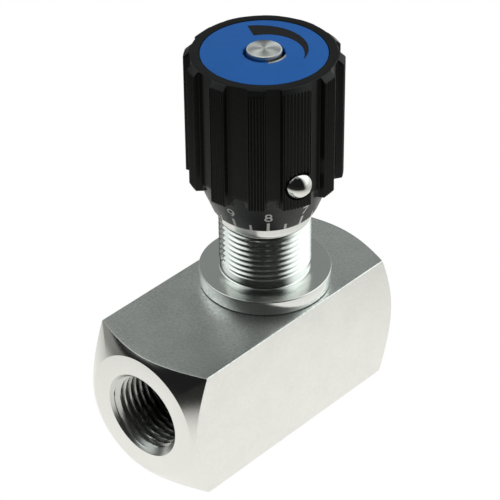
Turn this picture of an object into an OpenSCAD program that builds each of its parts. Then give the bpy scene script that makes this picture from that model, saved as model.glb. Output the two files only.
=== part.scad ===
// Inline one-way flow control valve with G 1/2 ports and a graduated control knob.
//
// A square steel bar holds two threaded ports on one flow axis. A needle on a
// threaded spindle meters the flow from port A to port B, and a sprung check
// poppet lets it run back freely. The knob lifts as it is turned open.
//
// Frame: origin at the centre of the bar's bottom face, +X from port A to
// port B, +Z up the spindle. The valve is drawn closed.

/* [Bar and ports] */
// Width and height of the square bar
bar_w = 35; // [34:0.5:38]
// Length over the two port faces
bar_l = 74; // [73:0.5:80]
// Distance of the spindle's axis from the middle of the bar, towards port B
spindle_x = 7.5; // [7:0.25:8.5]
// Diameter of the flat ring on each port face
port_face_d = 32.6; // [31:0.1:34]
// Slope of the turned end chamfer, measured from the port face
end_slope = 30; // [25:1:32]
// Depth of each port
port_depth = 16.5; // [15.5:0.25:17]
// Mouth diameter of each port
port_mouth_d = 22.3; // [21.5:0.1:23]

/* [Bonnet] */
// Diameter of the flange that seats on the bar
flange_d = 33; // [31:0.5:34]
// Thickness of the flange
flange_t = 4; // [3.5:0.25:4.5]
// Major diameter of the panel thread on the neck
neck_d = 22.8; // [22:0.1:23]
// Pitch of the panel thread
neck_pitch = 1.5; // [1:0.25:1.5]
// Angle of the index slot in the neck, from +X
index_angle = 152; // [0:1:359]
// Diameter of the sleeve that the knob is guided on
sleeve_d = 20; // [19.6:0.1:20.2]

/* [Knob] */
// Diameter over the ribs
knob_d = 38; // [37:0.5:39]
// Diameter at the floor between the ribs
knob_core_d = 34.8; // [34:0.1:36]
// Height of the knob's lower edge above the bar's bottom face
knob_bottom_z = 57.5; // [57:0.1:58]
// Height of the knob's top face
knob_top_z = 99.4; // [99:0.1:100]
// Diameter of the graduated skirt at its lower edge
skirt_d = 25.8; // [25.4:0.1:26.4]
// Number of ribs
rib_count = 12; // [8:1:14]
// Width of one rib
rib_w = 4.1; // [3.5:0.1:4.8]
// Angle of the first rib, from +X
rib_angle = 6.3; // [0:0.1:29.9]
// Diameter of the coloured cap disc
cap_d = 30.1; // [29:0.1:30.4]

/* [Lock screw] */
// Height of the lock screw's axis
lock_z = 73; // [72.8:0.1:73.2]
// Number of the rib that the lock screw goes through
lock_rib = 8; // [0:1:11]
// Width of that rib
lock_rib_w = 7.3; // [6.5:0.1:7.5]
// Angle from the middle of that rib to the lock screw
lock_skew = 1.8; // [0:0.1:2.5]
// Thread diameter of the lock screw
lock_d = 5; // [4:1:5]
// Diameter of the lock screw's ball head
lock_ball_d = 7; // [6.6:0.1:7.1]

/* [Spindle] */
// Diameter of the spindle's end that shows in the cap
stem_d = 8.5; // [8:0.1:8.6]
// Height of the top of the spindle
stem_top_z = 100.35; // [100:0.05:101]
// Outer diameter of the spindle's adjusting thread
spindle_thread_d = 12; // [11.6:0.1:12]
// Diameter of the sealing piston
piston_d = 13; // [12.6:0.1:13]
// Diameter of the metering hole that the needle closes
seat_d = 8.5; // [8.5:0.05:8.6]

/* [Hidden] */
$fn = 96;
eps = 0.01;

// Running clearance between pieces that move on each other, on the radius
run_gap = 0.05;
// Small gap between pieces that only touch
touch_gap = 0.03;

bar_h = bar_w;
flow_z = bar_h / 2;

// Minor diameter of the G 1/2 pipe thread, which the ports are drawn at
port_minor_d = 18.631;
port_bottom_x = bar_l / 2 - port_depth;

// Vertical bores under the bonnet
chamber_r = 7.5;
chamber_floor_z = 13;
seal_bore_r = 9;
seal_ledge_z = 24.5;
cartridge_r = 10;
cartridge_z = 29;
lower_chamber_z = 4.5;

// Check valve, on its own axis above the flow axis
check_z = 20.5;
check_bore_r = 4.6;
check_seat_r = 3;
check_seat_x = -3.5;
spring_seat_x = -11;
spring_coil_r = 3;
spring_wire_r = 0.35;
spring_turns = 5.5;
retainer_x = -18;
retainer_t = 1.2;
circlip_t = 0.8;

// Slanted metering drilling from port A to the lower chamber
metering_r = 2.75;
metering_start_z = 11.4;
metering_end_z = 7.6;

// Bonnet
flange_top_z = bar_h + flange_t;
sleeve_r = sleeve_d / 2;
neck_r = neck_d / 2;
neck_thread_depth = 0.6134 * neck_pitch;
relief_top_z = flange_top_z + 2.2;
collar_z = 54.4;
collar_top_z = 68;
sleeve_top_z = 88;
piston_r = piston_d / 2;
piston_stop_z = 43.55;
nut_thread_r = spindle_thread_d / 2 + run_gap;
nut_thread_top_z = 66;
wiper_z = 84.5;
wiper_r = 7.5;
index_w = 2.2;
index_bottom_z = 43;
index_r = neck_r - 1.3;
turn_ring_z = 58.25;
turn_rings = 5;

// Spindle
needle_r = 4.9;
needle_tip_r = 1.2;
needle_tip_z = 8;
needle_cone_z = 14.15;
shank_r = 5;
knob_seat_z = 89.2;
flat_w = 7.2;
spindle_pitch = 1.5;

// Knob
knob_r = knob_d / 2;
knob_core_r = knob_core_d / 2;
skirt_r = skirt_d / 2;
skirt_top_z = 69;
skirt_bore_r = 11.75;
knob_bore_r = sleeve_r + 0.4;
rib_top_z = knob_top_z - 1.4;
rib_top_r = knob_r - 1.5;
rib_foot_z = 66;
rib_foot_r = knob_r - 2.9;
rib_heel_z = 66.9;
hub_top_z = 95.5;
pocket_r = 8;
cap_t = 1;
cap_gap = 0.15;
cap_recess = 0.05;
cap_hole_r = 5;
washer_t = 0.7;
knob_clip_t = 0.95;
brake_z = 78.4;
brake_wire_r = 0.78;

// Lock screw, along its own radial axis
lock_angle = rib_angle + lock_rib * 360 / rib_count + lock_skew;
lock_r = lock_d / 2;
lock_bush_r = 3.6;
lock_ball_r = lock_ball_d / 2;
lock_ball_at = knob_r - 1.45;
lock_bush_in = 10.9;
lock_bush_out = lock_ball_at - lock_ball_r - 0.15;
lock_pad_in = sleeve_r + 0.06;
lock_screw_in = lock_pad_in + 1.04;

steel = [0.80, 0.80, 0.78];
bright_steel = [0.86, 0.86, 0.85];
black = [0.09, 0.09, 0.09];
blue = [0.15, 0.36, 0.63];
rubber = [0.05, 0.05, 0.05];
ptfe = [0.93, 0.93, 0.90];
brass = [0.78, 0.62, 0.28];

// Outline points [radius, height] of a row of thread crests from z0 up to z1
function thread_rings(z0, z1, pitch, r_crest, r_root) =
    let (n = floor((z1 - z0) / pitch), flank = pitch * 0.35)
    [for (i = [0 : n - 1])
        let (z = z0 + i * pitch)
        each [[r_root, z], [r_crest, z + flank],
              [r_crest, z + pitch - flank - pitch / 8], [r_root, z + pitch - pitch / 8]]];

module tube(r_out, r_in, z0, z1) {
    translate([0, 0, z0])
        difference() {
            cylinder(r = r_out, h = z1 - z0);
            translate([0, 0, -eps]) cylinder(r = r_in, h = z1 - z0 + 2 * eps);
        }
}

module o_ring(ring_r, wire_r, z) {
    rotate_extrude() translate([ring_r, z]) circle(r = wire_r, $fn = 32);
}

// Puts a piece drawn up +Z on the spindle's axis
module on_spindle() {
    translate([spindle_x, 0, 0]) children();
}

// Lays a piece drawn up +Z along +X on the check valve's axis
module on_check() {
    translate([0, 0, check_z]) rotate([0, 90, 0]) children();
}

// Turns a piece drawn up +Z to point outwards along the lock screw's axis
module on_lock() {
    on_spindle() rotate([0, 0, lock_angle]) translate([0, 0, lock_z]) rotate([0, 90, 0]) children();
}

// ---- bar ----

// Square bar with its ends turned to a cone
module bar_blank() {
    turned_r = bar_w;
    cone_l = (turned_r - port_face_d / 2) * tan(end_slope);
    intersection() {
        translate([-bar_l / 2, -bar_w / 2, 0]) cube([bar_l, bar_w, bar_h]);
        translate([0, 0, flow_z]) rotate([0, 90, 0]) rotate_extrude()
            polygon([
                [0, -bar_l / 2], [port_face_d / 2, -bar_l / 2],
                [turned_r, -bar_l / 2 + cone_l], [turned_r, bar_l / 2 - cone_l],
                [port_face_d / 2, bar_l / 2], [0, bar_l / 2]
            ]);
    }
}

// Port with its chamfered mouth, cut from z = 0 inwards along +Z
module port_cut() {
    mouth_r = port_mouth_d / 2;
    minor_r = port_minor_d / 2;
    rotate_extrude() polygon([
        [0, -1], [mouth_r, -1], [mouth_r, 0], [minor_r, mouth_r - minor_r],
        [minor_r, port_depth], [0, port_depth]
    ]);
}

// Bore for the bonnet, with the needle's chamber and the metering hole under it
module cartridge_cut() {
    lead_in = 0.5;
    rotate_extrude() polygon([
        [0, lower_chamber_z], [seat_d / 2, lower_chamber_z], [seat_d / 2, chamber_floor_z],
        [chamber_r, chamber_floor_z], [chamber_r, seal_ledge_z], [seal_bore_r, seal_ledge_z],
        [seal_bore_r, cartridge_z - lead_in], [cartridge_r, cartridge_z - lead_in],
        [cartridge_r, bar_h - lead_in], [cartridge_r + lead_in, bar_h],
        [cartridge_r + lead_in, bar_h + 1], [0, bar_h + 1]
    ]);
}

// Stepped bore for the check valve, with the groove for its circlip
module check_cut() {
    groove_r = check_bore_r + 0.4;
    groove_x = retainer_x - retainer_t;
    rotate_extrude() polygon([
        [0, -port_bottom_x - 1], [check_bore_r, -port_bottom_x - 1],
        [check_bore_r, groove_x - circlip_t - 0.1], [groove_r, groove_x - circlip_t - 0.1],
        [groove_r, groove_x], [check_bore_r, groove_x],
        [check_bore_r, check_seat_x], [check_seat_r, check_seat_x],
        [check_seat_r, spindle_x - chamber_r + 2], [0, spindle_x - chamber_r + 2]
    ]);
}

module valve_body() {
    run = spindle_x + port_bottom_x;
    drop = metering_start_z - metering_end_z;
    outlet_r = 4.4;
    color(steel) difference() {
        bar_blank();
        translate([-bar_l / 2, 0, flow_z]) rotate([0, 90, 0]) port_cut();
        translate([bar_l / 2, 0, flow_z]) rotate([0, -90, 0]) port_cut();
        on_spindle() cartridge_cut();
        on_check() check_cut();
        // slanted metering drilling
        translate([-port_bottom_x, 0, metering_start_z]) rotate([0, 90 + atan(drop / run), 0])
            translate([0, 0, -1]) cylinder(r = metering_r, h = norm([run, drop]) + 1);
        // outlet from the needle's chamber to port B
        translate([spindle_x, 0, flow_z]) rotate([0, 90, 0])
            cylinder(r = outlet_r, h = port_bottom_x - spindle_x + 1);
    }
}

// ---- bonnet ----

module bonnet() {
    nose_r = seal_bore_r - run_gap;
    nose_z = seal_ledge_z + 0.1;
    screw_r = cartridge_r - run_gap;
    screw_z = cartridge_z + 0.4;
    flange_r = flange_d / 2;
    edge = 0.35;
    foot_r = neck_r - 0.5;
    color(bright_steel) on_spindle() difference() {
        rotate_extrude() polygon([
            [piston_r + run_gap, nose_z], [nose_r - 0.3, nose_z], [nose_r, nose_z + 0.3],
            [nose_r, 25.7], [7.75, 25.7], [7.75, 28.2], [nose_r, 28.2], [nose_r, screw_z - 0.2],
            each thread_rings(screw_z, bar_h - 0.9, spindle_pitch, screw_r, 9.2),
            [9.2, bar_h], [flange_r - edge, bar_h], [flange_r, bar_h + edge],
            [flange_r, flange_top_z - 0.2], [flange_r - 0.2, flange_top_z],
            [foot_r + 0.7, flange_top_z], [foot_r + 0.2, flange_top_z + 0.2],
            [foot_r, flange_top_z + 0.7], [foot_r, relief_top_z],
            each thread_rings(relief_top_z, collar_z, neck_pitch, neck_r, neck_r - neck_thread_depth),
            [foot_r, collar_z - 0.4], [neck_r - 0.2, collar_z],
            [neck_r, collar_z + 0.2], [neck_r, collar_top_z - 0.4], [neck_r - 0.4, collar_top_z],
            [sleeve_r, collar_top_z], [sleeve_r, sleeve_top_z - 0.5], [sleeve_r - 0.5, sleeve_top_z],
            [wiper_r, sleeve_top_z], [wiper_r, wiper_z], [6.6, wiper_z],
            [6.6, nut_thread_top_z], [nut_thread_r, nut_thread_top_z - 0.5],
            [nut_thread_r, piston_stop_z], [piston_r + run_gap, piston_stop_z]
        ]);
        // index slot for reading the scale
        rotate([0, 0, index_angle]) translate([index_r, -index_w / 2, index_bottom_z])
            cube([neck_r, index_w, collar_top_z - index_bottom_z + 1]);
        // one shallow ring for each turn of the knob
        for (turn = [0 : turn_rings - 1])
            tube(neck_r + 1, neck_r - 0.15, turn_ring_z + turn * spindle_pitch - 0.2,
                 turn_ring_z + turn * spindle_pitch + 0.2);
    }
}

module bonnet_o_ring() {
    color(rubber) on_spindle() o_ring(8.375, 0.6, 26.35);
}

module bonnet_backup_ring() {
    color(ptfe) on_spindle() tube(8.95, 7.8, 27.1, 28.1);
}

// Lip ring that keeps dirt out of the adjusting thread
module stem_wiper() {
    lip_r = shank_r + run_gap;
    color(rubber) on_spindle() rotate_extrude() polygon([
        [lip_r, wiper_z + 0.8], [lip_r, wiper_z + 1.6], [lip_r + 0.6, wiper_z + 2.9],
        [wiper_r - touch_gap, wiper_z + 2.9], [wiper_r - touch_gap, wiper_z + 0.1],
        [lip_r + 0.9, wiper_z + 0.1]
    ]);
}

// ---- check valve ----

module check_poppet() {
    guide_r = check_bore_r - run_gap;
    nose_x = check_seat_x + 0.56;
    cone = 1.2;
    neck = 3.6;
    bore_r = 2.4;
    color(brass) on_check() difference() {
        rotate_extrude() polygon([
            [0, nose_x], [neck - cone, nose_x], [neck, nose_x - cone], [neck, -7.4],
            [guide_r, -7.7], [guide_r, -12.8], [guide_r - 0.2, -13], [neck, -13],
            [neck, spring_seat_x], [bore_r, spring_seat_x], [bore_r, -5.2], [0, -5.2]
        ]);
        for (side = [0, 90])
            translate([0, 0, -5.9]) rotate([0, 90, side]) cylinder(r = 1.1, h = 10, center = true);
    }
}

// Round wire swept along a helix, with its two ends capped
function wire_ring(t, x0, x1, turns, sides) = [
    for (s = [0 : sides - 1])
        let (a = 360 * turns * t, b = 360 * s / sides, r = spring_coil_r + spring_wire_r * cos(b))
        [r * cos(a), r * sin(a), x0 + (x1 - x0) * t + spring_wire_r * sin(b)]
];

module check_spring() {
    sides = 8;
    steps = 110;
    x0 = spring_seat_x - spring_wire_r - touch_gap;
    x1 = retainer_x + spring_wire_r + touch_gap;
    points = [for (i = [0 : steps]) each wire_ring(i / steps, x0, x1, spring_turns, sides)];
    walls = [
        for (i = [0 : steps - 1], s = [0 : sides - 1])
            let (a = i * sides + s, b = i * sides + (s + 1) % sides)
            each [[a, b, b + sides], [a, b + sides, a + sides]]
    ];
    first = [for (s = [1 : sides - 2]) [0, s + 1, s]];
    last = [for (s = [1 : sides - 2]) let (k = steps * sides) [k, k + s, k + s + 1]];
    color(bright_steel) on_check() polyhedron(points, concat(walls, first, last), convexity = 10);
}

module check_retainer() {
    color(steel) on_check()
        tube(check_bore_r - run_gap, 2, retainer_x - retainer_t + touch_gap, retainer_x);
}

module check_circlip() {
    x = retainer_x - retainer_t;
    color(bright_steel) on_check() difference() {
        tube(check_bore_r + 0.35, check_bore_r - 0.7, x - circlip_t, x);
        translate([0, -1.2, x - 1]) cube([8, 2.4, 2]);
    }
}

// ---- spindle ----

module spindle_o_ring() {
    color(rubber) on_spindle() o_ring(5.77, 0.73, 27.85);
}

module spindle_backup_ring() {
    color(ptfe) on_spindle() tube(6.5, 5.05, 28.8, 30.2);
}

module needle_spindle() {
    stem_r = stem_d / 2;
    thread_r = spindle_thread_d / 2;
    clip_z = hub_top_z + washer_t + touch_gap;
    clip_groove_r = stem_r - 0.55;
    color(bright_steel) on_spindle() difference() {
        rotate_extrude() polygon([
            [0, needle_tip_z], [needle_tip_r, needle_tip_z], [needle_r, needle_cone_z],
            [needle_r, 22.8], [piston_r, 23.2], [piston_r, 27], [shank_r, 27], [shank_r, 30.4],
            [piston_r, 30.4], [piston_r, 35.8], [piston_r - 0.2, 36], [shank_r, 36],
            each thread_rings(38, nut_thread_top_z, spindle_pitch, thread_r, thread_r - 0.9),
            [shank_r, nut_thread_top_z], [shank_r, knob_seat_z],
            [stem_r, knob_seat_z], [stem_r, clip_z], [clip_groove_r, clip_z],
            [clip_groove_r, clip_z + knob_clip_t + touch_gap],
            [stem_r, clip_z + knob_clip_t + touch_gap], [stem_r, stem_top_z - 0.45],
            [stem_r - 0.45, stem_top_z], [0, stem_top_z]
        ]);
        // two flats that turn the knob with the spindle
        for (side = [-1, 1])
            translate([-6, side > 0 ? flat_w / 2 : -flat_w / 2 - 3, knob_seat_z])
                cube([12, 3, hub_top_z - knob_seat_z]);
    }
}

// ---- knob ----

// Everything the ribs may fill: chamfered at the top, slightly sloped at the foot
module rib_envelope() {
    rotate_extrude() polygon([
        [0, rib_foot_z], [rib_foot_r, rib_foot_z], [knob_r, rib_heel_z],
        [knob_r, rib_top_z], [rib_top_r, knob_top_z], [0, knob_top_z]
    ]);
}

module ribs() {
    for (i = [0 : rib_count - 1]) {
        w = i == lock_rib ? lock_rib_w : rib_w;
        rotate([0, 0, rib_angle + i * 360 / rib_count])
            translate([skirt_bore_r + 1, -w / 2, rib_foot_z])
                cube([knob_r, w, knob_top_z - rib_foot_z]);
    }
}

module knob() {
    hub_r = stem_d / 2 + touch_gap;
    brake_groove_r = sleeve_r + 2 * brake_wire_r + 0.07;
    color(black) difference() {
        on_spindle() difference() {
            union() {
                rotate_extrude() polygon([
                    [0, knob_bottom_z], [skirt_r, knob_bottom_z], [knob_core_r, skirt_top_z],
                    [knob_core_r, knob_top_z - 0.3], [knob_core_r - 0.3, knob_top_z], [0, knob_top_z]
                ]);
                intersection() {
                    rib_envelope();
                    ribs();
                }
            }
            // inside, from the skirt up to the hub
            rotate_extrude() polygon([
                [0, knob_bottom_z - 1], [skirt_bore_r, knob_bottom_z - 1],
                [skirt_bore_r, skirt_top_z], [knob_bore_r, skirt_top_z],
                [knob_bore_r, brake_z - 0.9], [brake_groove_r, brake_z - 0.9],
                [brake_groove_r, brake_z + 0.9], [knob_bore_r, brake_z + 0.9],
                [knob_bore_r, knob_seat_z], [0, knob_seat_z]
            ]);
            // double-D hole in the hub
            intersection() {
                translate([0, 0, knob_seat_z - eps]) cylinder(r = hub_r, h = hub_top_z - knob_seat_z + 1);
                translate([-6, -flat_w / 2 - touch_gap, knob_seat_z - 1])
                    cube([12, flat_w + 2 * touch_gap, hub_top_z - knob_seat_z + 3]);
            }
            // pocket for the washer and circlip, and the seat of the cap disc
            translate([0, 0, hub_top_z]) cylinder(r = pocket_r, h = knob_top_z);
            translate([0, 0, knob_top_z - cap_t]) cylinder(r = cap_d / 2 + cap_gap, h = 2);
        }
        on_lock() translate([0, 0, sleeve_r - 3])
            cylinder(r = lock_bush_r + 0.02, h = knob_r);
    }
}

module cap_disc() {
    seat_z = knob_top_z - cap_t;
    top_z = knob_top_z - cap_recess;
    spigot = 0.8;
    color(blue) on_spindle() rotate_extrude() polygon([
        [cap_hole_r, seat_z + 0.02], [pocket_r - spigot - 0.05, seat_z + 0.02],
        [pocket_r - spigot - 0.05, seat_z - spigot], [pocket_r - 0.05, seat_z - spigot],
        [pocket_r - 0.05, seat_z + 0.02], [cap_d / 2, seat_z + 0.02],
        [cap_d / 2, top_z - 0.1], [cap_d / 2 - 0.1, top_z], [cap_hole_r + 0.2, top_z],
        [cap_hole_r, top_z - 0.2]
    ]);
}

module knob_washer() {
    color(steel) on_spindle() tube(7.4, stem_d / 2 + 0.1, hub_top_z, hub_top_z + washer_t);
}

module knob_circlip() {
    z = hub_top_z + washer_t + 0.04;
    color(bright_steel) on_spindle() difference() {
        tube(6, stem_d / 2 - 0.5, z, z + knob_clip_t - 0.02);
        translate([0, -1.3, z - 1]) cube([8, 2.6, 3]);
    }
}

// Rubber ring that drags on the sleeve, so the setting stays where it is put
module brake_ring() {
    color(rubber) on_spindle() o_ring(sleeve_r + brake_wire_r + run_gap, brake_wire_r, brake_z);
}

// ---- lock screw ----

module lock_bush() {
    bore_r = lock_r + run_gap;
    color(bright_steel) on_lock() rotate_extrude() polygon([
        [bore_r, lock_bush_in], [lock_bush_r, lock_bush_in], [lock_bush_r, lock_bush_out],
        [bore_r, lock_bush_out]
    ]);
}

module lock_pad() {
    color(brass) on_lock() translate([0, 0, lock_pad_in]) cylinder(r = 2.4, h = 1);
}

module lock_screw() {
    color(bright_steel) on_lock() union() {
        rotate_extrude() polygon([
            [0, lock_screw_in], [lock_r - 0.6, lock_screw_in], [lock_r, lock_screw_in + 0.6],
            [lock_r, lock_ball_at], [0, lock_ball_at]
        ]);
        translate([0, 0, lock_ball_at]) sphere(r = lock_ball_r);
    }
}

valve_body();
bonnet();
bonnet_o_ring();
bonnet_backup_ring();
stem_wiper();
check_poppet();
check_spring();
check_retainer();
check_circlip();
spindle_o_ring();
spindle_backup_ring();
needle_spindle();
knob();
cap_disc();
knob_washer();
knob_circlip();
brake_ring();
lock_bush();
lock_pad();
lock_screw();
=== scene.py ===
"""Looks, light and camera for the inline one-way flow control valve."""
import math

import bmesh
import bpy
from mathutils import Matrix, Vector


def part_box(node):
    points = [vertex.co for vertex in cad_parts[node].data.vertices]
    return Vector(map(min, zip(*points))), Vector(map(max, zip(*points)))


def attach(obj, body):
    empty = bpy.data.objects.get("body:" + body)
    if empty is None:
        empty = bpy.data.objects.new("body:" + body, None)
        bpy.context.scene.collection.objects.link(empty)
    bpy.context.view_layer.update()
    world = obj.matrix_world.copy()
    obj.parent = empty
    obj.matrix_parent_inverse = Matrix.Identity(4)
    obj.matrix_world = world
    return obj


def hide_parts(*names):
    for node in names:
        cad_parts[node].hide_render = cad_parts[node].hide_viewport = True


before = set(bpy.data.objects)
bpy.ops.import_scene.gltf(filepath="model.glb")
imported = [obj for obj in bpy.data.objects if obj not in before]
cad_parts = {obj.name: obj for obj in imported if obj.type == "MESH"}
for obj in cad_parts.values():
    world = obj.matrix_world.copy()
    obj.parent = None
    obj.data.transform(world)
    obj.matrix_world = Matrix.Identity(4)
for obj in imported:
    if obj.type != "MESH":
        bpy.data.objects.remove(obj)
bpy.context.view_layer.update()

MM = 0.001
TAU = 2 * math.pi


# ---------------------------------------------------------------- sizes from the CAD model, in mm

def box_mm(node):
    low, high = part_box(node)
    return low / MM, high / MM


bar_low, bar_high = box_mm("valve_body")
bonnet_low, bonnet_high = box_mm("bonnet")
knob_low, knob_high = box_mm("knob")
cap_low, cap_high = box_mm("cap_disc")
stem_high = box_mm("needle_spindle")[1]

BAR_END = bar_high.x
BAR_HALF = bar_high.y
FLOW_Z = (bar_low.z + bar_high.z) / 2
BAR_TOP = bar_high.z
AXIS = Vector(((bonnet_low.x + bonnet_high.x) / 2, 0, 0))
KNOB_BOTTOM, KNOB_TOP = knob_low.z, knob_high.z
KNOB_R = 19.0
CAP_TOP = cap_high.z
CAP_R = (cap_high.x - cap_low.x) / 2
STEM_TOP = stem_high.z
FLANGE_R = (bonnet_high.x - bonnet_low.x) / 2


# ---------------------------------------------------------------- mesh tools

def rounded(points, seg=3, closed=True):
    """2D outline of (a, b) or (a, b, radius), with the corners that state a radius rounded."""
    out = []
    count = len(points)
    for i, point in enumerate(points):
        radius = point[2] if len(point) > 2 else 0
        corner = Vector(point[:2])
        if radius <= 0 or (not closed and i in (0, count - 1)):
            out.append(tuple(corner))
            continue
        before = Vector(points[i - 1][:2]) - corner
        after = Vector(points[(i + 1) % count][:2]) - corner
        room = 0.49 * min(before.length, after.length)
        before.normalize()
        after.normalize()
        half = before.angle(after) / 2
        tangent = min(radius / math.tan(half), room)
        centre = corner + (before + after).normalized() * (tangent / math.cos(half))
        a, b = corner + before * tangent - centre, corner + after * tangent - centre
        turn = a.angle(b)
        for k in range(seg + 1):
            t = k / seg
            v = (a * math.sin((1 - t) * turn) + b * math.sin(t * turn)) / math.sin(turn)
            out.append(tuple(centre + v))
    return out


def new_object(name, bm, sharp=30):
    bmesh.ops.recalc_face_normals(bm, faces=bm.faces)
    mesh = bpy.data.meshes.new(name)
    bm.to_mesh(mesh)
    bm.free()
    mesh.shade_smooth()
    mesh.set_sharp_from_angle(angle=math.radians(sharp))
    obj = bpy.data.objects.new(name, mesh)
    bpy.context.scene.collection.objects.link(obj)
    return obj


def skin(name, rings, closed=True, sharp=30):
    """Joins rings of points in mm into one surface. A ring of one point is a pole."""
    bm = bmesh.new()
    made = [[bm.verts.new(Vector(p) * MM) for p in ring] for ring in rings]
    pairs = list(zip(made, made[1:])) + ([(made[-1], made[0])] if closed else [])
    for a, b in pairs:
        for k in range(max(len(a), len(b))):
            quad = [a[k % len(a)], a[(k + 1) % len(a)], b[(k + 1) % len(b)], b[k % len(b)]]
            bm.faces.new(list(dict.fromkeys(quad)))
    return new_object(name, bm, sharp)


def lathe(name, outline, sides=160, shape=None, place=Matrix.Identity(4), sharp=30, lift=None):
    """Turns an outline of (radius, height) about the local Z axis. shape may change the radius, and
    lift may raise a ring's points so that the rings run along a thread."""
    rings = []
    for radius, height in outline:
        if radius < 1e-6:
            rings.append([place @ Vector((0, 0, height))])
            continue
        ring = []
        for k in range(sides):
            angle = TAU * k / sides
            z = height + (lift(radius, height, angle) if lift else 0)
            r = shape(radius, z, angle) if shape else radius
            ring.append(place @ Vector((r * math.cos(angle), r * math.sin(angle), z)))
        rings.append(ring)
    return skin(name, rings, closed=len(rings[0]) > 1, sharp=sharp)


def cut(obj, *cutters, sharp=30):
    """Takes the cutters away from obj and removes them."""
    for cutter in cutters:
        step = obj.modifiers.new("cut", "BOOLEAN")
        step.operation = "DIFFERENCE"
        step.solver = "EXACT"
        step.object = cutter
    graph = bpy.context.evaluated_depsgraph_get()
    mesh = bpy.data.meshes.new_from_object(obj.evaluated_get(graph))
    obj.modifiers.clear()
    obj.data = mesh
    mesh.shade_smooth()
    mesh.set_sharp_from_angle(angle=math.radians(sharp))
    for cutter in cutters:
        bpy.data.objects.remove(cutter)
    return obj


def block(name, low, high, place=Matrix.Identity(4)):
    rings = []
    for z in (low[2], high[2]):
        rings.append([place @ Vector(p) for p in (
            (low[0], low[1], z), (high[0], low[1], z), (high[0], high[1], z), (low[0], high[1], z))])
    bm = bmesh.new()
    made = [[bm.verts.new(Vector(p) * MM) for p in ring] for ring in rings]
    bm.faces.new(made[0][::-1])
    bm.faces.new(made[1])
    for k in range(4):
        bm.faces.new([made[0][k], made[0][(k + 1) % 4], made[1][(k + 1) % 4], made[1][k]])
    return new_object(name, bm)


def vee(phase, crest=0.12, root=0.12):
    """0 at a thread's crest and 1 at its root, with flats of these parts of the pitch at both."""
    t = 1 - abs(2 * (phase % 1) - 1)
    return min(max((t - crest) / (1 - crest - root), 0), 1)


def along_flow(at):
    """Places a piece drawn up +Z along +X, through a point in mm."""
    return Matrix.Translation(Vector(at)) @ Matrix.Rotation(math.pi / 2, 4, "Y")


# ---------------------------------------------------------------- materials

def material(name, colour, metallic, roughness, **sockets):
    mat = bpy.data.materials.new(name)
    mat.use_nodes = True
    nodes = mat.node_tree.nodes
    shader = nodes["Principled BSDF"]
    shader.inputs["Base Color"].default_value = (*colour, 1)
    shader.inputs["Metallic"].default_value = metallic
    shader.inputs["Roughness"].default_value = roughness
    for key, value in sockets.items():
        shader.inputs[key.replace("_", " ")].default_value = value
    return mat


class Nodes:
    """Short names for the node calls that every material repeats."""

    def __init__(self, owner, coordinate="Object"):
        self.tree = owner.node_tree
        self.shader = self.tree.nodes.get("Principled BSDF")
        self.place = self.add("ShaderNodeTexCoord").outputs[coordinate]

    def add(self, kind, **settings):
        node = self.tree.nodes.new(kind)
        for key, value in settings.items():
            setattr(node, key, value)
        return node

    def link(self, a, b):
        self.tree.links.new(a, b)

    def feed(self, value, socket):
        """Links an output to a socket, or sets a plain number or colour on it."""
        if isinstance(value, bpy.types.NodeSocket):
            self.link(value, socket)
        elif isinstance(value, tuple) and len(value) == 3 and socket.type == "RGBA":
            socket.default_value = (*value, 1)
        else:
            socket.default_value = value

    def noise(self, scale, detail=3, rough=0.5):
        node = self.add("ShaderNodeTexNoise")
        node.inputs["Scale"].default_value = scale
        node.inputs["Detail"].default_value = detail
        node.inputs["Roughness"].default_value = rough
        self.link(self.place, node.inputs["Vector"])
        return node.outputs["Fac"]

    def lines(self, reach, scale, detail=3):
        node = self.add("ShaderNodeTexNoise", noise_dimensions="1D")
        node.inputs["Scale"].default_value = scale
        node.inputs["Detail"].default_value = detail
        self.link(reach, node.inputs["W"])
        return node.outputs["Fac"]

    def ramp(self, source, low, high, out_low=0.0, out_high=1.0, smooth=False):
        node = self.add("ShaderNodeMapRange", interpolation_type="SMOOTHSTEP" if smooth else "LINEAR")
        for key, value in (("From Min", low), ("From Max", high), ("To Min", out_low), ("To Max", out_high)):
            node.inputs[key].default_value = value
        self.link(source, node.inputs["Value"])
        return node.outputs["Result"]

    def mix(self, factor, a, b):
        node = self.add("ShaderNodeMix", data_type="RGBA")
        colours = [socket for socket in node.inputs if socket.type == "RGBA"]
        for value, socket in zip((factor, a, b), (node.inputs[0], *colours)):
            self.feed(value, socket)
        return [socket for socket in node.outputs if socket.type == "RGBA"][0]

    def math(self, kind, a, b=0.0):
        node = self.add("ShaderNodeMath", operation=kind)
        for value, socket in zip((a, b), node.inputs):
            self.feed(value, socket)
        return node.outputs["Value"]

    def total(self, *terms):
        out = terms[0]
        for term in terms[1:]:
            out = self.math("ADD", out, term)
        return out

    def product(self, *terms):
        out = terms[0]
        for term in terms[1:]:
            out = self.math("MULTIPLY", out, term)
        return out

    def bump(self, *layers):
        """Stacks (height, distance in m, strength) bumps onto the shader."""
        normal = None
        for height, distance, strength in layers:
            node = self.add("ShaderNodeBump")
            node.inputs["Distance"].default_value = distance
            node.inputs["Strength"].default_value = strength
            self.link(height, node.inputs["Height"])
            if normal:
                self.link(normal, node.inputs["Normal"])
            normal = node.outputs["Normal"]
        self.link(normal, self.shader.inputs["Normal"])

    def split(self):
        parts = self.add("ShaderNodeSeparateXYZ")
        self.link(self.place, parts.inputs["Vector"])
        return parts.outputs

    def radius(self, axis, centre):
        """Distance in metres from a line along an axis through a point in metres."""
        parts = self.split()
        squares = []
        for k in range(3):
            if k != axis:
                off = self.math("SUBTRACT", parts[k], centre[k])
                squares.append(self.math("MULTIPLY", off, off))
        return self.math("SQRT", self.total(*squares))


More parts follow.
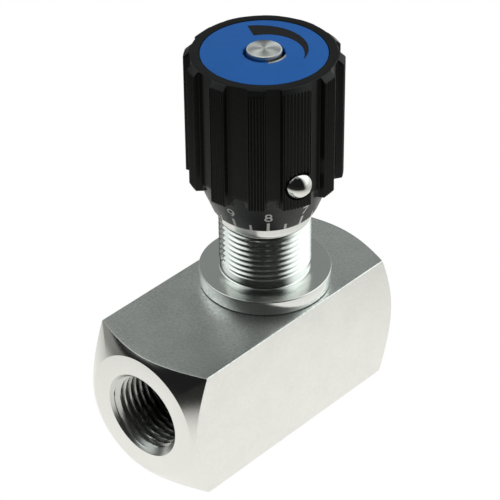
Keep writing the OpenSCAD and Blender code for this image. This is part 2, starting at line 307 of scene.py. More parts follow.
def zinc(name, light, dark, rough_low, rough_high, turned=None, anisotropic=0.0, mottle=1.0,
         grain_scale=2600, port_shade_keep=1.0):
    """Zinc plate: a fine mottle over steel, with lathe lines where turned = (axis, centre in mm).
    The last argument scales the plate's dark tone deep inside the ports: painted shade that darkens the port
    walls towards their bottom."""
    mat = material(name, light, 1.0, 0.35, Anisotropic=anisotropic)
    n = Nodes(mat)
    cloud = n.noise(150, 3)
    grain = n.noise(grain_scale, 4, rough=0.65)
    blend = n.math("ADD", n.math("MULTIPLY", cloud, 0.3), n.math("MULTIPLY", grain, 0.7))
    colour = n.mix(n.ramp(blend, 0.36, 0.64), dark, light)
    # painted shade: deep inside the ports the colour falls to a share of the dark tone, darker towards the
    # port's bottom
    if port_shade_keep < 1:
        along_bar = n.math("ABSOLUTE", n.split()[0], 0)
        port_shade_tone = tuple(c * port_shade_keep for c in dark)
        colour = n.mix(n.ramp(along_bar, 0.024, 0.0355, smooth=True), port_shade_tone, colour)
    n.link(colour, n.shader.inputs["Base Color"])
    n.link(n.ramp(blend, 0.36, 0.64, rough_high, rough_low), n.shader.inputs["Roughness"])
    layers = [(grain, 0.00003, 0.16 * mottle)]
    if turned:
        axis, centre = turned
        reach = n.radius(axis, Vector(centre) * MM)
        layers.append((n.lines(reach, 5200), 0.00002, 0.30))
        if anisotropic:
            tangent = n.add("ShaderNodeTangent", direction_type="RADIAL", axis="XYZ"[axis])
            n.link(tangent.outputs["Tangent"], n.shader.inputs["Tangent"])
    n.bump(*layers)
    return mat


def plastic(name, colour, roughness, grain_scale=2600, grain=0.25, vary=0.35, shine=0.3):
    mat = material(name, colour, 0.0, roughness, Specular_IOR_Level=shine)
    n = Nodes(mat)
    cloud = n.noise(180, 4)
    fine = n.noise(grain_scale, 3)
    lift = tuple(min(1, c * (1 + vary)) for c in colour)
    n.link(n.mix(n.ramp(cloud, 0.3, 0.7), colour, lift), n.shader.inputs["Base Color"])
    n.link(n.ramp(fine, 0.3, 0.7, roughness - 0.06, roughness + 0.06), n.shader.inputs["Roughness"])
    n.bump((fine, 0.00003, grain))
    return mat


spindle_line = (AXIS.x, 0, 0)
MAT = {
    "bar": zinc("bar_zinc", (0.85, 0.86, 0.835), (0.81, 0.82, 0.80), 0.30, 0.42, grain_scale=1400),
    "bar_top": zinc("bar_grained", (0.96, 0.975, 0.955), (0.60, 0.62, 0.605), 0.30, 0.46, grain_scale=1400,
                    mottle=5.0),
    "bar_end": zinc("bar_turned", (0.84, 0.85, 0.83), (0.79, 0.80, 0.78), 0.12, 0.18,
                    turned=(0, (0, 0, FLOW_Z)), mottle=0.3),
    # the port walls are coloured darker than the bar, and darker still towards their bottom: painted shade in
    # the ports
    "port": zinc("port_thread_shaded", (0.66, 0.67, 0.65), (0.62, 0.63, 0.61), 0.26, 0.32, mottle=0.0, port_shade_keep=0.30),
    "bonnet": zinc("bonnet_turned", (0.86, 0.88, 0.86), (0.82, 0.84, 0.82), 0.16, 0.21,
                   turned=(2, spindle_line), mottle=0.08),
    "steel": zinc("turned_steel", (0.90, 0.90, 0.89), (0.86, 0.87, 0.86), 0.42, 0.48,
                  turned=(2, spindle_line), anisotropic=0.96, mottle=0.3),
    "bush": zinc("bush_steel", (0.95, 0.95, 0.92), (0.92, 0.92, 0.89), 0.14, 0.20, mottle=0.1),
    "ball": zinc("polished_ball", (0.78, 0.78, 0.76), (0.74, 0.74, 0.72), 0.05, 0.09, mottle=0.05),
    "knob": plastic("knob_plastic", (0.0092, 0.0092, 0.0094), 0.32, grain=0.10, shine=0.23),
    "cap": plastic("cap_blue", (0.021, 0.165, 0.60), 0.34, grain_scale=3800, grain=0.12, vary=0.08),
    "ink": plastic("cap_ink", (0.012, 0.012, 0.014), 0.42, vary=0.2),
    "paint": plastic("scale_white", (0.80, 0.80, 0.78), 0.5, vary=0.05),
    "rubber": plastic("seal_rubber", (0.012, 0.012, 0.012), 0.55, vary=0.3),
    "ptfe": plastic("backup_ptfe", (0.78, 0.78, 0.75), 0.45, vary=0.05),
    "brass": zinc("turned_brass", (0.76, 0.57, 0.26), (0.66, 0.48, 0.20), 0.22, 0.34),
}


def finish(obj, mat, body, slot, *nodes):
    """Gives a piece its material and body, and hides the CAD nodes that it stands for. slot is not used."""
    if not obj.data.materials:
        obj.data.materials.append(MAT[mat])
    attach(obj, body)
    if nodes:
        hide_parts(*nodes)
    return obj


# ---------------------------------------------------------------- bar

PORT_MINOR, PORT_MAJOR, PORT_PITCH = 9.3155, 10.478, 25.4 / 14
PORT_MOUTH = 11.15
PORT_DEPTH = 16.5
PORT_ROWS = 108
MOUTH_ROWS = 2
FACE_R = 16.3
CHAMFER = math.radians(30)
CORNER = 0.35
EDGE = 0.12


def bar_angles():
    """Angles about the flow axis, closer together at the square's four corners."""
    near = (-1.7, -0.7, -0.35, 0, 0.35, 0.7, 1.7)
    out = []
    for quarter in range(4):
        start = quarter * 90
        out += [start + 1.25 * k for k in range(35)]
        out += [start + 45 + d for d in near]
        out += [start + 46.25 + 1.25 * k for k in range(1, 35)]
    return [math.radians(a) for a in out]


def bar_radius(angle):
    """Distance from the flow axis to the square's side, with its corner rounded."""
    u, v = abs(math.cos(angle)), abs(math.sin(angle))
    inner = BAR_HALF - CORNER
    flat = BAR_HALF / max(u, v)
    if flat * min(u, v) <= inner:
        return flat
    s = inner * (u + v)
    return s + math.sqrt(max(s * s - 2 * inner * inner + CORNER * CORNER, 0))


def port_radius(depth, x, angle):
    """Wall of a port at a depth: the mouth's chamfer, then a right-hand thread that runs out."""
    base = max(PORT_MOUTH - depth, PORT_MINOR)
    fade = min(max((PORT_DEPTH - 1.4 - depth) / 1.2, 0), 1)
    groove = vee(x / PORT_PITCH - angle / TAU + 0.3) * (PORT_MAJOR - PORT_MINOR) * fade
    return max(base, PORT_MINOR + groove)


def bar_column(angle):
    """One end's outline of (x, radius) from the port's bottom out to the middle of the bar."""
    side = bar_radius(angle)
    cone_x = BAR_END - (side - FACE_R) * math.tan(CHAMFER)
    depths = [PORT_DEPTH * (1 - k / PORT_ROWS) for k in range(PORT_ROWS)]
    inner = [(BAR_END - d, port_radius(d, BAR_END - d, angle)) for d in depths]
    outer = rounded([
        (BAR_END - 0.4, PORT_MOUTH - 0.4), (BAR_END, PORT_MOUTH, EDGE), (BAR_END, FACE_R, EDGE),
        (cone_x, side, EDGE), (cone_x - 1.2, side)], closed=False)
    return inner[:-MOUTH_ROWS] + outer[1:] + [(cone_x - 1.6, side)]


def make_bar():
    angles = bar_angles()
    columns = []
    for angle in angles:
        right = bar_column(angle)
        left = [(-x, r) for x, r in right]
        # the left port's thread is one helix of its own, not the right one's mirror image
        for k in range(PORT_ROWS - MOUTH_ROWS):
            depth = BAR_END + left[k][0]
            left[k] = (left[k][0], port_radius(depth, left[k][0], angle))
        columns.append(left + right[::-1])
    rings = []
    for row in range(len(columns[0])):
        ring = []
        for angle, column in zip(angles, columns):
            x, r = column[row]
            ring.append((x, r * math.cos(angle), FLOW_Z + r * math.sin(angle)))
        rings.append(ring)
    bm = bmesh.new()
    made = [[bm.verts.new(Vector(p) * MM) for p in ring] for ring in rings]
    count = len(angles)
    for a, b in zip(made, made[1:]):
        for k in range(count):
            bm.faces.new([a[k], a[(k + 1) % count], b[(k + 1) % count], b[k]])
    bm.faces.new(made[0])
    bm.faces.new(made[-1][::-1])
    return new_object("valve_bar", bm, 24)


bar = make_bar()
BOTTOM_X = BAR_END - PORT_DEPTH
CHECK_Z = 20.5
METERING_Z, METERING_RISE = 11.4, 3.8
cartridge = lathe("cartridge_cut", [
    (0, 4.5), (4.25, 4.5), (4.25, 13), (7.5, 13), (7.5, 24.5), (9, 24.5), (9, 28.5), (10, 28.5),
    (10, 34.5), (10.6, 35.2), (10.6, 36), (0, 36)], 96, place=Matrix.Translation(AXIS))
check_bore = lathe("check_cut", [
    (0, -BOTTOM_X - 1), (4.6, -BOTTOM_X - 1), (4.6, -20.1), (5, -20.1), (5, -19.2), (4.6, -19.2),
    (4.6, -3.5), (3, -3.5), (3, 2), (0, 2)], 64, place=along_flow((0, 0, CHECK_Z)))
tilt = math.atan2(METERING_RISE, AXIS.x + BOTTOM_X)
metering = lathe("metering_cut", [(0, -1), (2.75, -1), (2.75, 28), (0, 28)], 48,
                 place=Matrix.Translation((-BOTTOM_X, 0, METERING_Z))
                 @ Matrix.Rotation(math.pi / 2 + tilt, 4, "Y"))
outlet = lathe("outlet_cut", [(0, AXIS.x), (4.4, AXIS.x), (4.4, BOTTOM_X + 1), (0, BOTTOM_X + 1)], 64,
               place=along_flow((0, 0, FLOW_Z)))
cut(bar, cartridge, check_bore, metering, outlet, sharp=24)


def paint_bar(obj):
    """Flat sides, turned ends and threaded ports each get their own finish; the ports' finish carries painted
    shade that darkens them towards their bottom.
    """
    for key in ("bar", "bar_end", "port", "bar_top"):
        obj.data.materials.append(MAT[key])
    for face in obj.data.polygons:
        centre = face.center / MM
        radius = math.hypot(centre.y, centre.z - FLOW_Z)
        if abs(centre.x) > BOTTOM_X - 0.1 and radius < PORT_MOUTH:
            face.material_index = 2
        elif abs(face.normal.x) > 0.3:
            face.material_index = 1
        elif abs(face.normal.z) > 0.7:
            face.material_index = 3


paint_bar(bar)
finish(bar, "bar", "valve", "bar_zinc", "valve_body")


# ---------------------------------------------------------------- bonnet

NECK_R, NECK_PITCH = 11.4, 1.5
NECK_ROOT = NECK_R - 0.92
FLANGE_TOP = BAR_TOP + 4
THREAD_LOW, THREAD_HIGH = 41.2, 54.7
FOOT_R = 10.9
SLOT_ANGLE = math.radians(152)
TURN_LINE_Z = 58.25
STEM_THREAD_R = 6.0


def neck_radius(radius, height, angle):
    """The neck's right-hand panel thread, chamfered at its foot and running out at the collar."""
    if not THREAD_LOW < height < THREAD_HIGH or radius < 10:
        return radius
    fade = min(max((THREAD_HIGH - height) / 1.1, 0), 1)
    thread = NECK_R - vee(height / NECK_PITCH - angle / TAU, 0.04, 0.04) * (NECK_R - NECK_ROOT) * fade
    return min(thread, FOOT_R + (height - THREAD_LOW) * 0.9)


def neck_lift(radius, height, angle):
    """Lets the neck's rings follow its helix. Their seam falls inside the index slot."""
    if not THREAD_LOW < height < THREAD_HIGH or radius < 10:
        return 0
    ends = min(1, (height - THREAD_LOW) / 1.6, (THREAD_HIGH - height) / 1.6)
    return NECK_PITCH * (((angle - SLOT_ANGLE) / TAU) % 1 - 0.5) * ends


def make_bonnet():
    rows = 162
    thread = [(NECK_R, THREAD_LOW + (THREAD_HIGH - THREAD_LOW) * (k + 0.5) / rows) for k in range(rows)]
    below = rounded([
        (6.55, 24.6), (8.65, 24.6), (8.95, 24.9), (8.95, 25.7), (7.75, 25.7), (7.75, 28.2), (8.95, 28.2),
        (8.95, 29.4), (9.95, 29.9), (9.95, 33.9), (9.3, 34.2), (9.3, BAR_TOP), (FLANGE_R - 1.0, BAR_TOP),
        (FLANGE_R - 1.0, BAR_TOP + 0.28), (FLANGE_R, BAR_TOP + 0.28, 0.08), (FLANGE_R, FLANGE_TOP, 0.28),
        (12.4, FLANGE_TOP), (FOOT_R, FLANGE_TOP, 0.75), (FOOT_R, THREAD_LOW)], seg=5, closed=False)
    turns = []
    for turn in range(5):
        z = TURN_LINE_Z + turn * NECK_PITCH
        turns += [(NECK_R, z - 0.22), (NECK_R - 0.16, z - 0.12), (NECK_R - 0.16, z + 0.12),
                  (NECK_R, z + 0.22)]
    above = [(NECK_R, THREAD_HIGH + 0.1), (NECK_R, THREAD_HIGH + 0.6)] + turns + rounded([
        (NECK_R, 66), (NECK_R, 68, 0.4), (10, 68), (10, 88, 0.4), (7.5, 88), (7.5, 84.5), (6.6, 84.5),
        (6.6, 66), (6.05, 65.5), (6.05, 43.55), (6.55, 43.55), (6.55, 26)], closed=False)
    place = Matrix.Translation(AXIS)
    obj = lathe("bonnet_turned", below + thread + above, 240, neck_radius, place, sharp=32, lift=neck_lift)
    slot_turn = place @ Matrix.Rotation(SLOT_ANGLE, 4, "Z")
    slot = block("slot_cut", (NECK_R - 1.3, -1.1, 43), (14, 1.1, 69), slot_turn)
    return cut(obj, slot, sharp=32)


finish(make_bonnet(), "bonnet", "valve", "bonnet_zinc", "bonnet")


# ---------------------------------------------------------------- spindle

STEM_LOW, STEM_HIGH, STEM_ROOT, STEM_PITCH = 38, 66, 5.1, 1.5


def stem_radius(radius, height, angle):
    """The spindle's adjusting thread, which runs out over 0.8 mm at both ends."""
    if not STEM_LOW < height < STEM_HIGH or radius < 5.5:
        return radius
    ends = min(1, (height - STEM_LOW) / 0.8, (STEM_HIGH - height) / 0.8)
    crest = STEM_THREAD_R - vee(height / STEM_PITCH - angle / TAU) * 0.9
    return STEM_ROOT + (crest - STEM_ROOT) * max(ends, 0)


def make_spindle():
    rows = 200
    thread = [(STEM_THREAD_R, STEM_LOW + (STEM_HIGH - STEM_LOW) * (k + 0.5) / rows) for k in range(rows)]
    stem = 4.25
    below = [(0, 8), (1.2, 8), (4.9, 14.15), (4.9, 22.8), (6.5, 23.2), (6.5, 27), (5, 27), (5, 30.4),
             (6.5, 30.4), (6.5, 35.8), (6.3, 36), (STEM_ROOT, 36),
             (STEM_ROOT, STEM_LOW)]
    above = rounded([
        (5, 66.2), (5, 89.2), (stem, 89.2), (stem, 96.23), (stem - 0.55, 96.23), (stem - 0.55, 97.21),
        (stem, 97.21), (stem, STEM_TOP - 0.1, 0.42), (2.6, STEM_TOP, 0.3), (0.0, STEM_TOP)],
        seg=4, closed=False)
    obj = lathe("needle_turned", below + thread + above, 128, stem_radius, Matrix.Translation(AXIS), 32)
    flats = []
    for side in (-1, 1):
        low, high = sorted((side * 3.6, side * 6))
        flats.append(block("flat_cut", (-6, low, 89.21), (6, high, 95.5), Matrix.Translation(AXIS)))
    return cut(obj, *flats, sharp=32)


finish(make_spindle(), "steel", "control", "bright_steel", "needle_spindle")


# ---------------------------------------------------------------- knob

RIBS = 12
RIB_ANGLE = 6.3
RIB_HALF = 2.05
LOCK_RIB = 8
LOCK_RIB_HALF = 3.65
LOCK_SKEW = 1.8
FLOOR_R = 17.4
SKIRT_R, SKIRT_SLOPE = 12.9, 0.39
RIDGE_DEPTH = 0.28
TOP_CHAMFER_Z = 98.0
LOCK_Z = 73.0
BALL_R, BALL_AT = 3.49, 17.55


def rib_points(half, count):
    """One rib in its own frame of (outwards, sideways), from its left foot to its right foot."""
    foot = math.sqrt(FLOOR_R ** 2 - half ** 2)
    top = math.sqrt(KNOB_R ** 2 - half ** 2)
    left = rounded([(foot, -half - 1.0), (foot, -half, 0.3), (top, -half, 0.22), (top + 0.02, -half + 1)],
                   closed=False)[1:-1]
    inner = half - 0.24
    face = []
    samples = count * 8
    for k in range(1, samples):
        v = -inner + 2 * inner * k / samples
        wave = 0.5 - 0.5 * math.cos(TAU * count * (v + inner) / (2 * inner))
        face.append((math.sqrt(KNOB_R ** 2 - v * v) - RIDGE_DEPTH * (1 - wave), v))
    right = [(u, -v) for u, v in reversed(left)]
    return left + face + right


def floor_between(start, end):
    return [(FLOOR_R, start + (end - start) * k / 7, True) for k in range(1, 7)]


def knob_outline():
    """The knob's cross-section as (radius, angle, is floor)."""
    out = []
    for i in range(RIBS):
        half, count = (LOCK_RIB_HALF, 8) if i == LOCK_RIB else (RIB_HALF, 5)
        centre = math.radians(RIB_ANGLE + i * 360 / RIBS)
        points = rib_points(half, count)
        polar = [(math.hypot(u, v), centre + math.atan2(v, u)) for u, v in points]
        if out:
            out += floor_between(out[-1][1], polar[0][1])
        out += [(r, a, False) for r, a in polar]
    return out + floor_between(out[-1][1], out[0][1] + TAU)


def skirt_radius(z):
    return SKIRT_R + (z - KNOB_BOTTOM) * SKIRT_SLOPE


def make_knob():
    outline = knob_outline()

    def ring(height, radius):
        points = []
        for r, a, floor in outline:
            r = radius(r, floor)
            points.append((AXIS.x + r * math.cos(a), r * math.sin(a), height))
        return points

    heel = 66.9
    rings = []
    mouth = [(11.75, 69), (11.75, KNOB_BOTTOM + 0.3), (11.9, KNOB_BOTTOM), (SKIRT_R - 0.12, KNOB_BOTTOM),
             (SKIRT_R, KNOB_BOTTOM + 0.12)]
    for r, z in mouth + [(skirt_radius(z), z) for z in (58.2, 62, 65.6, 66.1)]:
        rings.append(ring(z, lambda _r, _f, r=r: r))
    for z, shrink in ((heel, 0.12), (heel + 0.12, 0.0), (heel + 0.5, 0.0), (68.4, 0.0), (68.9, 0.0),
                      (69.2, 0.0), (69.7, 0.0), (72, 0.0), (97.2, 0.0), (97.9, 0.0)):
        limit = min(skirt_radius(z), FLOOR_R)
        rings.append(ring(z, lambda r, f, s=shrink, m=limit: min(r, m) if f or r < FLOOR_R + 0.02
                          else max(min(r, KNOB_R - s), m)))
    steps = 7
    for k in range(steps + 1):
        z = TOP_CHAMFER_Z + (KNOB_TOP - 0.1 - TOP_CHAMFER_Z) * k / steps
        limit = KNOB_R - (z - TOP_CHAMFER_Z) * 1.1
        rings.append(ring(z, lambda r, f, m=limit: min(r, m)))
    rings.append(ring(KNOB_TOP, lambda r, f: min(r, 17.32)))
    recess = CAP_R + 0.15
    for r, z in ((16.9, KNOB_TOP), (recess + 0.15, KNOB_TOP), (recess + 0.04, KNOB_TOP - 0.04),
                 (recess, KNOB_TOP - 0.15), (recess, 98.4), (8, 98.4), (8, 95.5), (4.28, 95.5),
                 (4.28, 89.2), (10.4, 89.2), (10.4, 79.3), (11.63, 79.3), (11.63, 77.5), (10.4, 77.5),
                 (10.4, 69)):
        rings.append(ring(z, lambda _r, _f, r=r: r))
    return skin("knob_ribbed", rings, sharp=33)


LOCK_ANGLE = math.radians(RIB_ANGLE + LOCK_RIB * 360 / RIBS + LOCK_SKEW)
lock_place = (Matrix.Translation(AXIS + Vector((0, 0, LOCK_Z))) @ Matrix.Rotation(LOCK_ANGLE, 4, "Z")
              @ Matrix.Rotation(math.pi / 2, 4, "Y"))
knob = make_knob()
cut(knob, lathe("lock_cut", [(0, 7), (3.62, 7), (3.62, 18.35), (3.75, 18.6), (3.75, 26), (0, 26)], 96,
                place=lock_place), sharp=33)
finish(knob, "knob", "control", "knob_black", "knob")

bush = lathe("bush_turned", rounded([
    (2.55, 10.9), (3.6, 10.9), (3.6, 13.9, 0.1), (2.55, 13.9, 0.1)], seg=3), 96, place=lock_place)
finish(bush, "bush", "control", "bright_steel", "lock_bush")

SHANK_R = 2.5
neck_turn = math.pi - math.asin(SHANK_R / BALL_R)
head = []
for k in range(40):
    polar = neck_turn - neck_turn * k / 40
    head.append((BALL_R * math.sin(polar), BALL_AT + BALL_R * math.cos(polar)))
screw = lathe("ball_screw_turned", [(0, 11.1), (1.9, 11.1), (SHANK_R, 11.7)] + head + [(0, BALL_AT + BALL_R)],
              96, place=lock_place)
finish(screw, "ball", "lock", "bright_steel", "lock_screw")


# ---------------------------------------------------------------- cap disc and its mark

BURR_SIDE, BURR_HEIGHT = math.radians(-97.7), 0.14
HOLE_R = 5.0


def make_cap():
    """The printed disc. Its punched hole has a bare rim that stands up a little on one side."""
    flat = rounded([
        (7.95, 98.42), (CAP_R, 98.42), (CAP_R, CAP_TOP, 0.12), (HOLE_R + 0.7, CAP_TOP)], seg=4, closed=False)
    lip = [(HOLE_R + 0.6 - 0.5 * k / 6, CAP_TOP) for k in range(7)]
    rise = [0.5 - 0.5 * math.cos(math.pi * k / 6) for k in range(7)]
    inner = [(HOLE_R, CAP_TOP - 0.04), (HOLE_R, CAP_TOP - 0.16), (HOLE_R, 98.42), (7.15, 98.42),
             (7.15, 97.6), (7.95, 97.6)]
    outline = flat + lip + inner
    rises = [0] * len(flat) + rise + [0] * len(inner)
    sides = 200
    rings = []
    for (radius, height), share in zip(outline, rises):
        ring = []
        for k in range(sides):
            angle = TAU * k / sides
            near = max(math.cos(angle - BURR_SIDE), 0) ** 2
            ring.append((AXIS.x + radius * math.cos(angle), radius * math.sin(angle),
                         height + BURR_HEIGHT * near * share))
        rings.append(ring)
    obj = skin("cap_plate", rings)
    obj.data.materials.append(MAT["cap"])
    obj.data.materials.append(MAT["bush"])
    for face in obj.data.polygons:
        centre = face.center / MM - AXIS
        toward = math.cos(math.atan2(centre.y, centre.x) - BURR_SIDE)
        if math.hypot(centre.x, centre.y) < HOLE_R + 0.5 and toward > 0.86:
            face.material_index = 1
    return obj


finish(make_cap(), "cap", "control", "cap_blue", "cap_disc")


def ribbon(name, sections, base, top):
    """A closed strip over cross-sections of (left, right) points, each a function of the lift."""
    bm = bmesh.new()
    made = []
    for left, right in sections:
        made.append([bm.verts.new(Vector(p) * MM) for p in
                     (left(base), right(base), right(top), left(top))])
    for a, b in zip(made, made[1:]):
        for k in range(4):
            bm.faces.new([a[k], a[(k + 1) % 4], b[(k + 1) % 4], b[k]])
    bm.faces.new(made[0])
    bm.faces.new(made[-1][::-1])
    return new_object(name, bm)


def cap_point(radius, degrees):
    angle = math.radians(degrees)
    return lambda lift: (AXIS.x + radius * math.cos(angle), radius * math.sin(angle), CAP_TOP + lift)


def make_wedge():
    """A plain arc that tapers to a point, thick at the open end."""
    start, end = 59.9, -69.2
    sections = []
    steps = 64
    for k in range(steps + 1):
        t = k / steps
        angle = start + (end - start) * t
        inner = 8.0 + 1.75 * t ** 1.3
        outer = 13.0 - 3.2 * t ** 0.95
        sections.append((cap_point(inner, angle), cap_point(max(outer, inner + 0.05), angle)))
    return ribbon("cap_mark", sections, -0.05, 0.02)  # sunk 0.05 mm and 0.02 mm proud


finish(make_wedge(), "ink", "control", "cap_blue")


# ---------------------------------------------------------------- scale on the skirt

def skirt_point(middle, across, z):
    """A point on the skirt at an arc length from a mark's middle angle, as a function of the lift."""
    radius = skirt_radius(z)

    def at(lift):
        angle = middle + across / radius
        r = radius + lift
        return (AXIS.x + r * math.cos(angle), r * math.sin(angle), z - lift * SKIRT_SLOPE)
    return at


def arc(cx, cy, rx, ry, start, end, steps=14):
    return [(cx + rx * math.cos(math.radians(start + (end - start) * k / steps)),
             cy + ry * math.sin(math.radians(start + (end - start) * k / steps))) for k in range(steps + 1)]


# strokes of each digit in a box 2 wide and 4 tall, centred on 0 and standing on 0
DIGITS = {
    0: [arc(0, 2, 1, 2, 90, 450, 28)],
    1: [[(-0.6, 3.2), (0.15, 4), (0.15, 0)]],
    2: [arc(0, 3, 1, 1, 160, -30) + [(-1, 0), (1, 0)]],
    3: [arc(0, 3, 0.95, 1, 150, -90) + arc(0, 1, 1, 1, 90, -150)],
    4: [[(0.45, 0), (0.45, 4), (-1, 1.1), (1.05, 1.1)]],
    5: [[(0.9, 4), (-0.7, 4), (-0.85, 2.2)] + arc(0, 1.25, 1, 1.25, 125, -145)],
    6: [arc(0, 1.25, 1, 1.25, 90, 450, 24), arc(0.6, 1.6, 1.6, 2.3, 105, 190, 8)],
    7: [[(-1, 4), (1, 4), (-0.3, 0)]],
    8: [arc(0, 3, 0.85, 1, 90, 450, 22), arc(0, 1, 1, 1, 90, 450, 22)],
    9: [arc(0, 2.75, 1, 1.25, 90, 450, 24), arc(-0.6, 2.4, 1.6, 2.3, 10, -75, 8)],
}


def stroke(points, width):
    """Left and right edges of a line of a given width, mitred at its bends."""
    edges = []
    last = len(points) - 1
    for i, (x, y) in enumerate(points):
        before = Vector((x, y)) - Vector(points[max(i - 1, 0)])
        after = Vector(points[min(i + 1, last)]) - Vector((x, y))
        if points[0] == points[last] and i in (0, last):
            before = Vector(points[last]) - Vector(points[last - 1])
            after = Vector(points[1]) - Vector(points[0])
        directions = [d.normalized() for d in (before, after) if d.length > 1e-9]
        along_line = sum(directions, Vector((0, 0))).normalized()
        side = Vector((-along_line.y, along_line.x))
        half = width / 2 / max(abs(along_line.dot(directions[0])), 0.5)
        edges.append(((x + side.x * half, y + side.y * half), (x - side.x * half, y - side.y * half)))
    return edges


marks = []
DIGIT_W, DIGIT_H, DIGIT_LOW, LINE_W = 0.78, 0.60, 61.5, 0.40
FRONT_NUMBER, FRONT_ANGLE, NUMBER_STEP = 8, -134.4, 36
SUNK, PROUD = -0.05, 0.025
TICKS = ((0, 3.0, 0.7), (NUMBER_STEP / 2, 2.0, 0.6))  # degrees past the number, height, width
for number in range(10):
    middle = math.radians(FRONT_ANGLE + (FRONT_NUMBER - number) * NUMBER_STEP)
    for points in DIGITS[number]:
        placed = [(x * DIGIT_W, DIGIT_LOW + y * DIGIT_H) for x, y in points]
        sections = [(skirt_point(middle, *a), skirt_point(middle, *b)) for a, b in stroke(placed, LINE_W)]
        marks.append(ribbon("scale_digit", sections, SUNK, PROUD))
    for offset, height, width in TICKS:
        tick = middle + math.radians(offset)
        rows = [KNOB_BOTTOM + 0.12 + height * k / 3 for k in range(4)]
        sections = [(skirt_point(tick, -width / 2, z), skirt_point(tick, width / 2, z)) for z in rows]
        marks.append(ribbon("scale_tick", sections, SUNK, PROUD))


def joined(name, parts):
    bm = bmesh.new()
    for part in parts:
        bm.from_mesh(part.data)
        bpy.data.objects.remove(part)
    return new_object(name, bm)


finish(joined("scale_marks", marks), "paint", "control", "knob_black")


# ---------------------------------------------------------------- pieces kept from the CAD model

KEPT = {
    "bonnet_o_ring": "rubber", "bonnet_backup_ring": "ptfe", "stem_wiper": "rubber",
    "check_poppet": "brass", "check_spring": "bush", "check_retainer": "bush", "check_circlip": "bush",
    "spindle_o_ring": "rubber", "spindle_backup_ring": "ptfe", "knob_washer": "bush",
    "knob_circlip": "bush", "brake_ring": "rubber", "lock_pad": "brass",
}
for node, key in KEPT.items():
    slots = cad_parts[node].data.materials
    slots.clear()
    slots.append(MAT[key])


# ---------------------------------------------------------------- floor, world and lights

WARM = (1.0, 0.985, 0.945)
COOL = (0.95, 1.0, 0.975)


def seen_or_lit(n, surface, lit, colour):
    """White where the camera looks straight at it, and the stated light everywhere else."""
    plain, light = n.add("ShaderNodeEmission"), n.add("ShaderNodeEmission")
    light.inputs["Color"].default_value = (*colour, 1)
    n.link(lit, light.inputs["Strength"])
    both = n.add("ShaderNodeMixShader")
    n.link(n.add("ShaderNodeLightPath").outputs["Is Camera Ray"], both.inputs["Fac"])
    n.link(light.outputs["Emission"], both.inputs[1])
    n.link(plain.outputs["Emission"], both.inputs[2])
    n.link(both.outputs["Shader"], surface)


AWAY_X, AWAY_Y = 0.74, 0.67  # the direction from the camera to the valve, seen from above


def compass_degrees(n, x, y):
    return n.math("MULTIPLY", n.math("ARCTAN2", y, x), 180 / math.pi)


def away_from_camera(n, x, y):
    return n.math("ADD", n.math("MULTIPLY", x, AWAY_X), n.math("MULTIPLY", y, AWAY_Y))


def make_floor():
    """A white sheet round the valve. It falls off to dark in front and stays lit on the window's side."""
    bm = bmesh.new()
    size = 6.0
    corners = [bm.verts.new((x * size, y * size, -0.0001)) for x, y in ((-1, -1), (1, -1), (1, 1), (-1, 1))]
    bm.faces.new(corners)
    floor = new_object("studio_floor", bm)
    mat = bpy.data.materials.new("floor_white")
    mat.use_nodes = True
    n = Nodes(mat)
    mat.node_tree.nodes.remove(n.shader)
    reach = n.radius(2, Vector((0, 0, 0)))
    sheet = n.ramp(reach, 0.035, 0.24, 0.97, 0.0, smooth=True)
    x, y = n.split()[:2]
    compass = compass_degrees(n, x, y)
    off_sheet = n.ramp(reach, 0.1, 0.25, smooth=True)
    lit_side = n.product(n.ramp(compass, -92, -58, smooth=True),
                         n.ramp(compass, 22, 60, 1.0, 0.0, smooth=True), off_sheet)
    away = n.math("DIVIDE", away_from_camera(n, x, y), reach)
    room = n.product(n.ramp(away, -0.3, 0.4, 0.02, 0.3, smooth=True), off_sheet)
    glow = n.math("MINIMUM", n.total(sheet, room, n.math("MULTIPLY", lit_side, 0.65)), 1.0)
    seen_or_lit(n, mat.node_tree.nodes["Material Output"].inputs["Surface"], glow, WARM)
    floor.data.materials.append(mat)


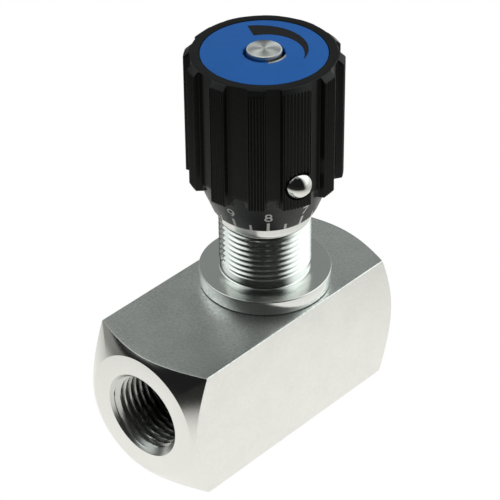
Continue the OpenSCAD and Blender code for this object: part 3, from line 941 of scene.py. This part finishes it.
def make_world():
    """Windows to the left and right, a weak one high at the left, a dim room beyond the valve and a soft
    panel overhead. Behind the camera it is dark."""
    world = bpy.data.worlds.new("studio")
    bpy.context.scene.world = world
    world.use_nodes = True
    n = Nodes(world, "Generated")
    x, y, z = n.split()[:3]
    compass = compass_degrees(n, x, y)

    def window(rise_low, rise_high, fall_low, fall_high, bottom, full):
        """Lit between two compass angles in degrees, and from a height on the unit sphere upwards."""
        return n.product(n.ramp(compass, rise_low, rise_high, smooth=True),
                         n.ramp(compass, fall_low, fall_high, 1.0, 0.0, smooth=True),
                         n.ramp(z, bottom, full, smooth=True))

    left = window(58, 100, 132, 168, 0.20, 0.48)
    right = window(-92, -56, -12, 16, -0.05, 0.02)
    high_left = window(60, 110, 150, 178, 0.55, 0.75)
    room = n.product(n.ramp(away_from_camera(n, x, y), -0.3, 0.3, smooth=True),
                     n.ramp(z, 0.05, 0.4, smooth=True))
    overhead = n.ramp(z, 0.90, 0.99, smooth=True)
    sky = n.total(0.012, n.math("MULTIPLY", room, 0.24), n.math("MULTIPLY", overhead, 0.25),
                  n.math("MULTIPLY", left, 0.68), n.math("MULTIPLY", right, 1.15),
                  n.math("MULTIPLY", high_left, 0.4))
    seen_or_lit(n, world.node_tree.nodes["World Output"].inputs["Surface"], sky, COOL)


make_floor()
make_world()

view = bpy.context.scene.view_settings
view.view_transform = "Standard"
view.look = "None"


# ---------------------------------------------------------------- camera

CAMERA_AT = Vector((-327.62, -304.54, 359.85)) * MM
LOOK_AT = Vector((2.019, 0, 45.943)) * MM
ROLL = math.radians(-0.542)
camera_data = bpy.data.cameras.new("camera")
camera_data.lens = 161.08
camera_data.sensor_width = 36
camera_data.clip_start = 0.01
camera = bpy.data.objects.new("camera", camera_data)
bpy.context.scene.collection.objects.link(camera)
back = (CAMERA_AT - LOOK_AT).normalized()
right = Vector((0, 0, 1)).cross(back).normalized()
up = back.cross(right)
right, up = right * math.cos(ROLL) + up * math.sin(ROLL), up * math.cos(ROLL) - right * math.sin(ROLL)
turn = Matrix((right, up, back)).transposed().to_4x4()
camera.matrix_world = Matrix.Translation(CAMERA_AT) @ turn
bpy.context.scene.camera = camera
